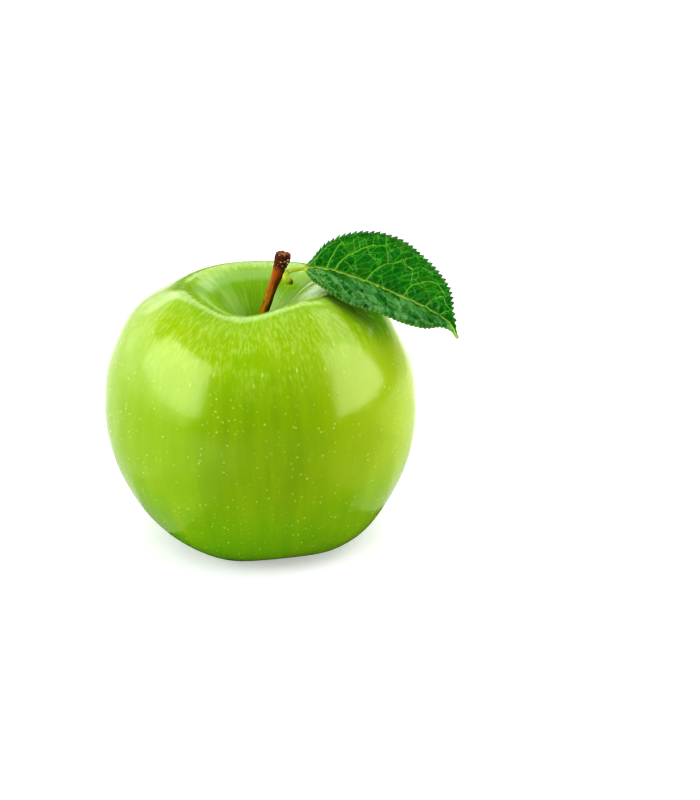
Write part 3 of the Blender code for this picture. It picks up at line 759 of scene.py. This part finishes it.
def netDistance(flat):
    # distance to the border between the two nearest of many scattered seeds, in a measure
    # that is longer across the side veins, which makes the cells into a leaning ladder
    draw = np.random.default_rng(leaf["netSeed"])
    gap = (leaf["netCell"], leaf["netCell"] * leaf["netSquash"])
    columns = [np.arange(*span, step) for span, step in zip(leaf["netSpan"], gap)]
    seeds = np.stack(np.meshgrid(*columns, indexing="ij"), axis=-1).reshape(-1, 2)
    jitter = leaf["netJitter"]
    seeds = seeds + draw.uniform(-jitter, jitter, seeds.shape) * gap

    def lean(places, side):
        # coordinates along the side veins and across them, the second shortened
        turn = math.radians(leaf["netLean"]) * side
        along = places @ np.array([math.cos(turn), math.sin(turn)])
        across = places @ np.array([-math.sin(turn), math.cos(turn)])
        return np.stack([along, across / leaf["netLong"]], axis=-1)

    result = np.zeros(flat.shape[:-1])
    for side in (-1.0, 1.0):
        chosen = flat[..., 1] >= 0 if side > 0 else flat[..., 1] < 0
        beside = seeds[seeds[:, 1] * side > -leaf["netAcross"]]
        places, nearSeeds = lean(flat[chosen], side), lean(beside, side)
        found = []
        for start in range(0, len(places), leaf["netBatch"]):
            part = places[start:start + leaf["netBatch"]]
            away = ((part[:, None] - nearSeeds[None]) ** 2).sum(axis=-1)
            two = np.argpartition(away, 1, axis=1)[:, :2]
            first, second = (np.take_along_axis(away, two[:, k:k + 1], 1)[:, 0] for k in (0, 1))
            apart = np.linalg.norm(nearSeeds[two[:, 0]] - nearSeeds[two[:, 1]], axis=1)
            found.append(np.abs(second - first) / (2 * apart))
        result[chosen] = np.concatenate(found)
    return result


def bladeRings(length):
    # sections of the blade from margin to margin, over the top and back underneath. Each
    # half rises from the midrib by the fold, arches and waves, swells between its veins,
    # and the veins are sunk above and stand out below
    f = leaf
    far, farShift, farPoint = leafMargin(f["far"], length)
    near, nearShift, nearPoint = leafMargin(f["near"], length)
    nearShift = nearShift * f["nearTeeth"]
    middle = (far[:, 0] + near[:, 0]) / 2
    q = np.abs(np.linspace(-1.0, 1.0, 2 * f["columns"] + 1))[None, :]
    isFar = (np.arange(2 * f["columns"] + 1) >= f["columns"])[None, :]
    sign = np.where(isFar, 1.0, -1.0)
    side = np.where(isFar[..., None], far[:, None], near[:, None])
    shift = np.where(isFar[..., None], farShift[:, None], nearShift[:, None])
    point = np.where(isFar, farPoint[:, None], nearPoint[:, None]) * q ** f["pointReach"]
    reach = q ** f["toothReach"]
    run = middle[:, None] + (side[..., 0] - middle[:, None]) * q + shift[..., 0] * reach
    width = side[..., 1] * q + shift[..., 1] * reach
    share = np.clip(run / length, 0.0, 1.0)
    flat = np.stack([run, sign * width], axis=-1)
    shape = share.shape
    place, _, back, up = (part.reshape(*shape, 3) for part in bladeFrames(share.ravel()))
    fold = math.radians(f["fold"])
    room = ease(side[..., 1] / f["full"])
    lift = width * math.sin(fold) + f["arch"] * 4 * q * (1 - q) * room
    lift = lift + f["wave"] * q ** 2 * np.sin(turnAll * f["waves"] * share + sign) * room

    mainVein, mainAway = lineMask(flat, f["farVeins"] + f["nearVeins"])
    paleVein = lineMask(flat, f["farVeins"] + f["nearVeins"][:f["nearBright"]])[0]
    puff = np.where(isFar, 1.0, f["nearPuff"])
    netAway = netDistance(flat)
    ribAway = np.abs(width)
    edge = (1 - q) * side[..., 1]
    inner = between(edge, 0.0, f["quiltEdge"]) * room
    taper = 1 - f["ribTaper"] * share
    nearest = np.minimum(mainAway, ribAway)
    quilt = f["quilt"] * (1 - np.exp(-nearest / f["quiltReach"])) * inner * puff
    pillow = f["netQuilt"] * (1 - np.exp(-(netAway / f["netReach"]) ** 2)) * inner * puff
    netLine = np.exp(-(netAway / f["netHalf"]) ** 2) * between(edge, *f["netFrom"])
    netLine = netLine * (1 - bell(nearest, 0.0, f["netClear"]))
    rib = bell(ribAway, 0.0, f["grooveHalf"])
    above = quilt + pillow - f["veinSunk"] * mainVein * inner - f["groove"] * rib * taper
    above = above + f["creaseShare"] * f["groove"] * bell(ribAway, 0.0, f["creaseHalf"]) * taper
    ridge = f["ribDeep"] * bell(ribAway, 0.0, f["ribHalf"]) * taper
    below = f["underShare"] * (quilt + pillow) - f["veinRaised"] * mainVein * inner
    below = below - f["netSunk"] * netLine - ridge
    thick = f["thick"] + (f["thickEdge"] - f["thick"]) * between(edge, f["thinFrom"], 0.0)
    half = thick / 2
    base = place + back * (sign * width * math.cos(fold))[..., None]
    top = base + up * (lift + f["lift"] * room + above + half)[..., None]
    under = base + up * (lift + f["lift"] * room + below - half)[..., None]
    painted = f["ribPaint"] * (1 - f["ribPaintTaper"] * share) + f["ribPaintMore"]
    marks = {
        "rib": bell(ribAway, 0.0, painted), "vein": paleVein, "sunken": mainVein - paleVein,
        "net": netLine, "edge": edge, "tooth": point, "upper": np.ones(shape),
        "flat": np.concatenate([flat, np.zeros((*shape, 1))], axis=-1),
    }
    rings = np.concatenate([top, under[:, ::-1]], axis=1)
    both = {key: np.concatenate([value, value[:, ::-1]], axis=1) for key, value in marks.items()}
    both["upper"] = np.concatenate([marks["upper"], np.zeros(shape)], axis=1)
    return rings, both


def petioleRings(around):
    # round sections with the blade's order of points, from the heel to the blade
    count = leaf["petioleSteps"]
    line = throughPoints(leaf["petiole"], np.linspace(0.0, 1.0, count))
    place, width = line[:, :3], line[:, 3]
    along = unit(np.gradient(place, axis=0))
    up = bladeFrames(np.zeros(1))[3][0]
    turn = math.pi - (np.arange(around) + 0.5) * turnAll / around
    deep, size = leaf["petioleLumps"]
    rings = []
    for k in reversed(range(count)):
        up = unit(up - (up @ along[k]) * along[k])
        back = np.cross(up, along[k])
        spoke = np.cos(turn)[:, None] * back + np.sin(turn)[:, None] * up
        lumps = unevenness(place[k] + spoke * width[k] / 2, size, 31)[:, None] * deep
        rings.append(place[k] + spoke * (width[k] / 2 + lumps))
    return np.stack(rings[::-1])


def leafRings():
    # the petiole's rings and then the blade's, with marks that say which is which
    length = runAlong(throughPoints(leaf["midrib"], np.linspace(0.0, 1.0, 600)))[-1]
    blade, marks = bladeRings(length)
    petiole = petioleRings(blade.shape[1])[:-1]
    share = np.linspace(0.0, 1.0, len(petiole))[:, None] * np.ones(blade.shape[1])
    rings = np.concatenate([petiole, blade[1:]])
    before = {key: np.zeros((len(petiole), *value.shape[1:])) for key, value in marks.items()}
    before["upper"] = np.ones(share.shape)
    before["edge"] = np.full(share.shape, leaf["stemEdge"])
    before["flat"][..., 0] = (share - 1) * leaf["stemPaint"]
    values = {key: np.concatenate([before[key], value[1:]]) for key, value in marks.items()}
    fade = between(marks["flat"][1:, :, 0], leaf["stemFade"], 0.0)
    onStem = np.concatenate([np.ones(share.shape), fade])
    heel = np.concatenate([1 - ease(share / leaf["heelShare"]), np.zeros(fade.shape)])
    values.update(onStem=onStem, heel=heel)
    return rings + (fruit["coreX"], fruit["coreY"], 0.0), values


def leafMaterial():
    look = {
        "dark": (0.001, 0.115, 0.001), "fresh": (0.002, 0.165, 0.001),
        "olive": (0.035, 0.180, 0.001), "ladder": (0.080, 0.380, 0.015),
        "paintedSheen": (0.130, 0.36, 0.092), "groove": (0.001, 0.055, 0.004),
        "vein": (0.32, 0.66, 0.05), "rim": (0.13, 0.42, 0.02), "tip": (0.035, 0.022, 0.004),
        "rib": (0.52, 0.70, 0.09), "under": (0.13, 0.29, 0.075), "underVein": (0.30, 0.45, 0.16),
        "petiole": (0.44, 0.55, 0.05), "heel": (0.18, 0.20, 0.015), "scar": (0.03, 0.018, 0.005),
        "layers": [
            ("fresh", 1.0, ("flat", 5.0, 0.35, 0.65)),
            ("olive", 1.0, ("flat", 9.0, 0.48, 0.66), "oliveShare"),
            ("ladder", 0.10, "fine"),
            # pale strands on the far half; on the near one, a painted sheen on cells of unlike tone and
            # painted shade in the dark seams round them
            ("paintedSheen", 0.8, ("cellTone", 0.15, 0.85), "nearHalf"),
            ("ladder", 0.65, "strands", ("nearHalf", 1.0, 0.0)),
            ("groove", 0.65, "strands", "nearHalf"),
            # painted shade in the sunken veins of the near half
            ("groove", 0.8, "sunken"),
            ("vein", 0.9, "vein"),
            ("rim", 0.8, ("edge", 0.55, 0.1), "nearHalf"),
            ("tip", 0.8, "tooth"),
            ("rib", 1.0, "rib"),
        ],
        "underLayers": [("underVein", 1.0, "underNet"), ("underVein", 1.0, "rib")],
        "stemLayers": [
            ("heel", 1.0, ("flat", 1.6, 0.52, 0.8)),
            ("heel", 1.0, ("heel", 0.1, 0.8)),
            ("scar", 1.0, ("heel", 0.8, 1.0)),
        ],
        "nearFrom": (0.3, -0.3), "oliveShares": (0.7, 0.15), "netShare": 0.3, "underNetShare": 0.5,
        "fineScale": 1.1, "fineWide": 0.12, "fineDeep": 0.00003,
        # the painted net: cells to a millimetre, their lean and squash, its strands' width
        "meshScale": 0.46, "meshLean": -0.8, "meshSquash": 0.75, "meshWide": (0.015, 0.055),
        "roughness": 0.31, "underRoughness": 0.62, "bend": 1.34,
    }
    material, tree, shader = newMaterial("leafBlade")
    names = ("upper", "vein", "net", "rib", "sunken", "edge", "tooth", "heel", "onStem")
    fields = {name: mark(tree, name) for name in names}
    flat = mark(tree, "flat", "Vector")
    apart = addNode(tree, "SeparateXYZ", {0: flat}).outputs
    nearHalf = ramp(tree, apart["Y"], *look["nearFrom"])

    def seams(vector, scale, thin, wide):
        # lines between Voronoi cells
        inputs = {"Vector": vector, "Scale": scale}
        cells = addNode(tree, "TexVoronoi", inputs, feature="DISTANCE_TO_EDGE")
        return ramp(tree, cells.outputs["Distance"], thin, wide, 1.0, 0.0)

    # a net whose cells lean along the side veins, with a tone for each cell
    off = times(tree, doMath(tree, "ABSOLUTE", apart["Y"]), look["meshLean"])
    lean = {0: doMath(tree, "ADD", apart["X"], off), 1: times(tree, apart["Y"], look["meshSquash"])}
    lean = addNode(tree, "CombineXYZ", lean).outputs[0]
    cells = addNode(tree, "TexVoronoi", {"Vector": lean, "Scale": look["meshScale"]})
    tones = addNode(tree, "SeparateColor", {"Color": cells.outputs["Color"]}).outputs
    strands = seams(lean, look["meshScale"], *look["meshWide"])
    fields.update({
        "flat": flat, "nearHalf": nearHalf, "cellTone": tones[0],
        "oliveShare": ramp(tree, nearHalf, 0.0, 1.0, *look["oliveShares"]),
        "fine": seams(flat, look["fineScale"], 0.0, look["fineWide"]),
        "strands": doMath(tree, "MAXIMUM", times(tree, fields["net"], look["netShare"]), strands),
        "underNet": doMath(tree, "MAXIMUM", fields["vein"],
                           times(tree, fields["net"], look["underNetShare"])),
    })
    top = layered(tree, look, "dark", look["layers"], fields)
    under = layered(tree, look, "under", look["underLayers"], fields)
    stem = layered(tree, look, "petiole", look["stemLayers"], fields)
    blade = blendColour(tree, fields["upper"], under, top)
    dull = ramp(tree, fields["upper"], 0.0, 1.0, look["underRoughness"], look["roughness"])
    setInputs(tree, shader, {
        "Base Color": blendColour(tree, fields["onStem"], blade, stem),
        "Roughness": dull, "Normal": bumpFrom(tree, fields["fine"], look["fineDeep"]),
        "IOR": look["bend"],
    })
    return material


makePiece("leafBlade", [leafRings()], "leaf", leafMaterial())


# The dried calyx: a plug in the basin, five sepals and a tuft of stamens.

calyx = {
    "ring": 8.3,
    "plug": [(0.4, 10.6), (2.3, 10.6), (2.36, 9.4), (2.3, 8.4), (1.7, 8.1), (1.1, 8.6), (0.4, 8.7)],
    "sepals": 5, "sepalSteps": 60, "sepalColumns": 14,
    "sepalRoute": [                     # distance from the core line, height, width
        (1.3, 8.9, 1.9), (1.9, 7.6, 2.4), (2.0, 6.3, 2.2), (1.6, 5.1, 1.7), (1.8, 4.1, 1.3),
        (2.9, 3.6, 0.7),
    ],
    "sepalThick": 0.4, "sepalThin": 0.75, "cup": 0.2, "nearest": 1.2, "wrinkles": (0.1, 1.3),
    "stretch": (0.9, 1.08), "turn": (-0.1, 0.1), "curl": (0.6, 1.2),
    "stamens": 18, "stamenSteps": 16, "stamenLength": 4.3, "stamenWidth": 0.34, "stamenUp": 0.6,
    "roots": (0.2, 0.95), "ends": (0.5, 1.5), "sizes": (0.7, 1.0), "bends": (-0.35, 0.35),
}


def calyxShells():
    # the plug is turned from a profile; a sepal is a cupped strip bent round the core
    # line, wrinkled and curled at its tip; a stamen is a thin bent spike with a knob
    c = calyx
    draw = np.random.default_rng(7)
    middle = np.array([coreShift(c["ring"]), fruit["coreY"], 0.0])
    shells = []
    turn = np.arange(40) * turnAll / 40
    profile = np.array(c["plug"])
    plug = np.stack([profile[:, :1] * np.cos(turn), profile[:, :1] * np.sin(turn),
                     profile[:, 1:] + 0 * turn], axis=-1)
    shells.append((plug + middle, {"dry": np.zeros(plug.shape[:2])}))
    for number in range(c["sepals"]):
        stretch, sway = draw.uniform(*c["stretch"]), draw.uniform(*c["turn"])
        curl = draw.uniform(*c["curl"])
        route = [(r, c["ring"] + (z - c["ring"]) * stretch, w) for r, z, w in c["sepalRoute"]]
        tip = route[-1]
        route[-1] = (route[-2][0] + (tip[0] - route[-2][0]) * curl, tip[1], tip[2] * 0.5)
        line = throughPoints(route, np.linspace(0.0, 1.0, c["sepalSteps"]))
        along = unit(np.gradient(line[:, :2], axis=0))
        outward = np.stack([-along[:, 1], along[:, 0]], axis=1)
        across = np.linspace(-0.5, 0.5, c["sepalColumns"])
        across = np.concatenate([across, across[::-1]])
        layer = np.repeat([1.0, -1.0], c["sepalColumns"]) * c["sepalThick"] / 2
        layer = layer * (1 - c["sepalThin"] * (2 * across) ** 4)
        width, run = line[:, 2:], runAlong(line[:, :2])[:, None]
        flat = np.stack([across * width, run + 0 * across], axis=-1)
        deep, size = c["wrinkles"]
        depth = layer - c["cup"] * width * (2 * across) ** 2
        depth = depth + deep * unevenness(flat, size, 40 + number)
        reach = line[:, :1] + outward[:, :1] * depth
        height = line[:, 1:2] + outward[:, 1:2] * depth
        angle = turnAll * number / c["sepals"] + sway
        angle = angle + across * width / np.maximum(line[:, :1], c["nearest"])
        ring = np.stack([reach * np.cos(angle), reach * np.sin(angle), height], axis=-1)
        dry = np.linspace(0.0, 1.0, len(line))[:, None] + 0 * across
        shells.append((ring + middle, {"dry": dry}))
    sides = np.arange(8) * turnAll / 8
    for number in range(c["stamens"]):
        heading, root = draw.uniform(0.0, turnAll), draw.uniform(*c["roots"])
        end, size = draw.uniform(*c["ends"]), draw.uniform(*c["sizes"])
        bend = draw.uniform(*c["bends"])
        share = np.linspace(0.0, 1.0, c["stamenSteps"])
        out = root + (end - root) * share ** 1.5
        half = c["stamenWidth"] / 2 * (1 - 0.45 * share + 0.5 * bell(share, 0.93, 0.06))
        half[-1] = 0.04
        sway = heading + bend * share ** 2
        x = (out * np.cos(sway))[:, None] + half[:, None] * np.cos(sides)
        y = (out * np.sin(sway))[:, None] + half[:, None] * np.sin(sides)
        z = (c["ring"] + c["stamenUp"] - c["stamenLength"] * size * share)[:, None] + 0 * x
        spike = np.stack([x, y, z], axis=-1)
        shells.append((spike + middle, {"dry": share[:, None] + 0 * x}))
    return shells


def calyxMaterial():
    look = {
        "green": (0.16, 0.17, 0.035), "brown": (0.085, 0.045, 0.018), "dark": (0.022, 0.013, 0.007),
        "layers": [("brown", 1.0, ("dry", 0.1, 0.6)), ("dark", 1.0, ("solid", 0.8, 0.4, 0.65))],
        "hairScale": 6.0, "hairLong": 0.25, "hairDeep": 0.0001, "roughness": (0.7, 0.9),
    }
    material, tree, shader = newMaterial("driedCalyx")
    fields = {"dry": mark(tree, "dry"), "solid": solidPlace(tree)}
    along = stretched(tree, fields["solid"], 1, 1, look["hairLong"])
    hair = addNode(tree, "TexNoise", {"Vector": along, "Scale": look["hairScale"]}).outputs["Fac"]
    setInputs(tree, shader, {
        "Base Color": layered(tree, look, "green", look["layers"], fields),
        "Roughness": ramp(tree, hair, 0.3, 0.7, *look["roughness"]),
        "Normal": bumpFrom(tree, hair, look["hairDeep"]),
    })
    return material


makePiece("driedFlower", calyxShells(), "calyx", calyxMaterial())


# The floor, the light and the camera.

studio = {
    "floorSize": 8.0,                   # metres, as are the places of the lights
    "floorColour": (0.83, 0.775, 0.91), "floorGlow": 0.29,
    "floorGrain": (0.004, 0.2, 0.8), "grainDark": 0.99,
    "floorMirrored": 0.1,               # how much of its paint the fruit's gloss shows
    "roomLight": 0.48,
    "ring": 0.85,                       # how far from the fruit the cloths hang
    # each cloth's heading from the camera's side, the angle from its middle to its end, its
    # foot and head, and its brightness as gloss shows it and as a light
    "cloths": {
        "leftWall": (-75, 29, 0.19, 1.38, 3.4, 0.9),
        "leftSide": (-60, 15, 0.22, 0.72, 0.0, 2.6),
        "leftFoot": (-78, 27, 0.01, 0.19, 1.3, 6.2),
        "leftBack": (-120, 15, 0.01, 0.60, 1.6, 0.0),
        "backLeft": (-150, 15, 0.01, 0.60, 0.9, 2.4),
        "backLow": (177, 33, 0.01, 0.24, 0.0, 0.1),
        "backMiddle": (195, 18, 0.24, 0.52, 1.4, 0.1),
        "backSide": (160, 17, 0.24, 0.52, 0.0, 0.1),
        "backHigh": (177, 33, 0.52, 1.30, 1.8, 0.1),
        "rightWall": (81, 23, 0.10, 0.80, 2.8, 1.8),
        "rightHigh": (81, 23, 0.80, 1.45, 1.4, 2.4),
        "rightBack": (120, 15, 0.30, 1.45, 1.4, 1.5),
        "rightFoot": (105, 30, 0.01, 0.22, 0.0, 4.0),
        "front": (15, 30, 0.72, 1.45, 0.0, 1.15),
        "frontFoot": (-5, 40, 0.01, 0.20, 0.0, 0.7),
    },
    # flat cloths: place, size along and back, which way they face, and the two brightnesses
    "flats": {
        "sky": ((0.0, 0.15, 1.45), (1.10, 0.60), -1, 0.2, 2.3),
        "farFloor": ((-0.355, 0.60, 0.004), (0.79, 0.30), 1, 0.5, 0.0),
        "farRight": ((0.225, 0.60, 0.004), (0.37, 0.30), 1, 0.25, 0.0),
        "backFloor": ((-0.355, 0.32, 0.004), (0.79, 0.26), 1, 0.8, 0.0),
        "backRight": ((0.225, 0.32, 0.004), (0.37, 0.26), 1, 0.4, 0.0),
        "middleFloor": ((-0.17, 0.13, 0.004), (1.16, 0.12), 1, 0.8, 0.0),
        "nearBack": ((-0.17, 0.05, 0.004), (1.16, 0.04), 1, 0.7, 0.0),
        "nearSide": ((-0.17, 0.015, 0.004), (1.16, 0.03), 1, 0.55, 0.0),
        "rightNear": ((0.22, -0.015, 0.004), (0.38, 0.03), 1, 0.4, 0.0),
        "rightFront": ((0.225, -0.045, 0.004), (0.37, 0.03), 1, 0.27, 0.0),
        "rightLast": ((0.23, -0.08, 0.004), (0.36, 0.04), 1, 0.13, 0.0),
        "leftFloor": ((-0.41, -0.11, 0.004), (0.70, 0.22), 1, 0.5, 0.0),
        "footFloor": ((-0.045, -0.11, 0.004), (0.03, 0.22), 1, 0.25, 0.0),
    },
}


def makeFloor():
    # a flat square with pale paint; a glow for the camera alone leaves only the shade close
    # to the fruit to be seen on it
    half = studio["floorSize"] / 2
    corners = [(-half, -half, 0), (half, -half, 0), (half, half, 0), (-half, half, 0)]
    mesh = bpy.data.meshes.new("floor")
    mesh.from_pydata(corners, [], [(0, 1, 2, 3)])
    material, tree, shader = newMaterial("floorPaint")
    place = addNode(tree, "TexCoord").outputs["Object"]
    grain = patches(tree, place, *studio["floorGrain"])
    light = studio["floorColour"]
    paint = blendColour(tree, grain, [v * studio["grainDark"] for v in light], light)
    path = addNode(tree, "LightPath").outputs
    mirrored = [v * studio["floorMirrored"] for v in light]
    setInputs(tree, shader, {
        "Base Color": blendColour(tree, path["Is Glossy Ray"], paint, mirrored),
        "Roughness": 0.9, "Specular IOR Level": 0.1, "Emission Color": (1.0, 1.0, 1.0, 1.0),
        "Emission Strength": times(tree, path["Is Camera Ray"], studio["floorGlow"]),
    })
    mesh.materials.append(material)
    floor = bpy.data.objects.new("floor", mesh)
    bpy.context.scene.collection.objects.link(floor)


def makeLamps(name, place, size, target, bright):
    # one cloth as two lamps, for gloss and for light, both unseen by the camera; a lamp's
    # power is its brightness times its area times pi
    for use, amount in zip(("Shine", "Shade"), bright):
        if amount == 0:
            continue
        data = bpy.data.lights.new(name + use, "AREA")
        data.shape = "RECTANGLE"
        data.size, data.size_y = size
        data.energy = amount * size[0] * size[1] * math.pi
        lamp = bpy.data.objects.new(name + use, data)
        lamp.location = place
        lamp.rotation_euler = (Vector(target) - Vector(place)).to_track_quat("-Z", "Y").to_euler()
        lamp.visible_camera = False
        lamp.visible_diffuse = use == "Shade"
        lamp.visible_glossy = use == "Shine"
        bpy.context.scene.collection.objects.link(lamp)


def makeLights():
    # bright cloths that hang in a ring round the fruit, flat ones above it and on the floor,
    # and a white room that lights it evenly
    ring = studio["ring"]
    for name, (heading, half, foot, head, shine, shade) in studio["cloths"].items():
        turn, middle = math.radians(heading), (foot + head) / 2
        place = (ring * math.sin(turn), -ring * math.cos(turn), middle)
        size = (2 * ring * math.tan(math.radians(half)), head - foot)
        makeLamps(name, place, size, (0.0, 0.0, middle), (shine, shade))
    for name, (place, size, way, shine, shade) in studio["flats"].items():
        makeLamps(name, place, size, (place[0], place[1], place[2] + way), (shine, shade))
    world = bpy.data.worlds.new("room")
    bpy.context.scene.world = world
    world.use_nodes = True
    tree = world.node_tree
    back = tree.nodes["Background"]
    back.inputs["Color"].default_value = (1.0, 1.0, 1.0, 1.0)
    path = addNode(tree, "LightPath").outputs
    room = times(tree, path["Is Diffuse Ray"], studio["roomLight"])
    tree.links.new(doMath(tree, "ADD", room, path["Is Camera Ray"]), back.inputs["Strength"])


view = {
    "aim": (-0.0049, 0.0, 0.034),       # metres: the middle of the fruit
    "distance": 0.75, "down": 24.0,     # metres and degrees
    "right": 0.0228, "up": 0.0019,      # where it looks, off the aim, in metres
    "lens": 131.97,                     # on a sensor of 36 mm for the long side
}


def makeCamera():
    down = math.radians(view["down"])
    aim = Vector(view["aim"])
    upward = Vector((0.0, math.sin(down), math.cos(down)))
    data = bpy.data.cameras.new("camera")
    data.lens = view["lens"]
    data.sensor_width = 36.0
    camera = bpy.data.objects.new("camera", data)
    camera.location = aim + view["distance"] * Vector((0.0, -math.cos(down), math.sin(down)))
    target = aim + Vector((view["right"], 0.0, 0.0)) + view["up"] * upward
    camera.rotation_euler = (target - camera.location).to_track_quat("-Z", "Y").to_euler()
    bpy.context.scene.collection.objects.link(camera)
    bpy.context.scene.camera = camera


makeFloor()
makeLights()
makeCamera()
bpy.context.scene.view_settings.view_transform = "Standard"
bpy.context.scene.view_settings.look = "High Contrast"
print("floor, light and camera are set")
